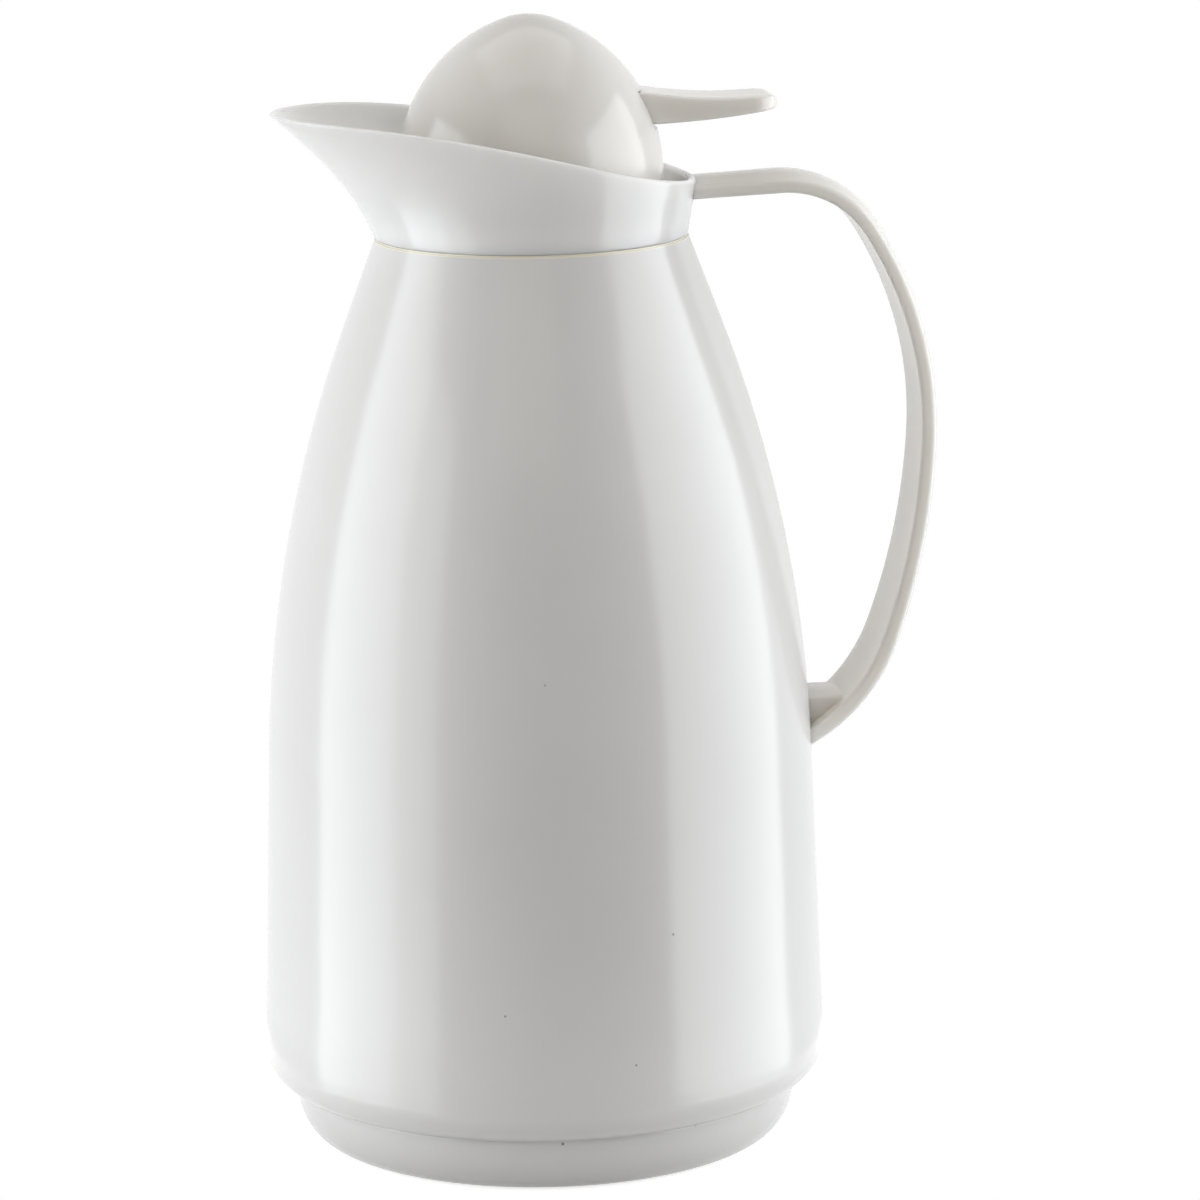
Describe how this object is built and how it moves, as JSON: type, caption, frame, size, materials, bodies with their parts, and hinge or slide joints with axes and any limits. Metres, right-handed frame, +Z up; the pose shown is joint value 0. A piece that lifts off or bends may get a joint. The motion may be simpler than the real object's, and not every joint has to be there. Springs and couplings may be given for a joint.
{
  "type": "thermal carafe",
  "caption": "Upright thermal carafe with a tapered jacket, flared pouring collar, strap handle, egg-shaped lid and a thumb lever that presses down.",
  "frame": {"origin": "centre of the foot, on the surface the carafe stands on", "axes": "+Z up, +X towards the handle and the thumb lever, -X towards the pouring lip, +Y across"},
  "size_m": [0.1728, 0.1426, 0.2828],
  "materials": {
    "pearl_white_plastic": "satin moulded plastic, cool pearl white",
    "ivory_white_plastic": "satin moulded plastic, slightly warmer white"
  },
  "bodies": {
    "carafe": {"base_cap": "pearl_white_plastic", "jacket": "pearl_white_plastic", "collar": "pearl_white_plastic", "handle": "ivory_white_plastic", "lid": "ivory_white_plastic"},
    "lever": {"thumb_lever": "ivory_white_plastic"}
  },
  "joints": [
    {"name": "lever_press", "type": "hinge", "parent": "carafe", "child": "lever", "pos_m": [0.024, 0, 0.2594], "axis": [0, 1, 0], "range_deg": [0, 8], "stiffness_Nm_per_rad": 0.5}
  ]
}
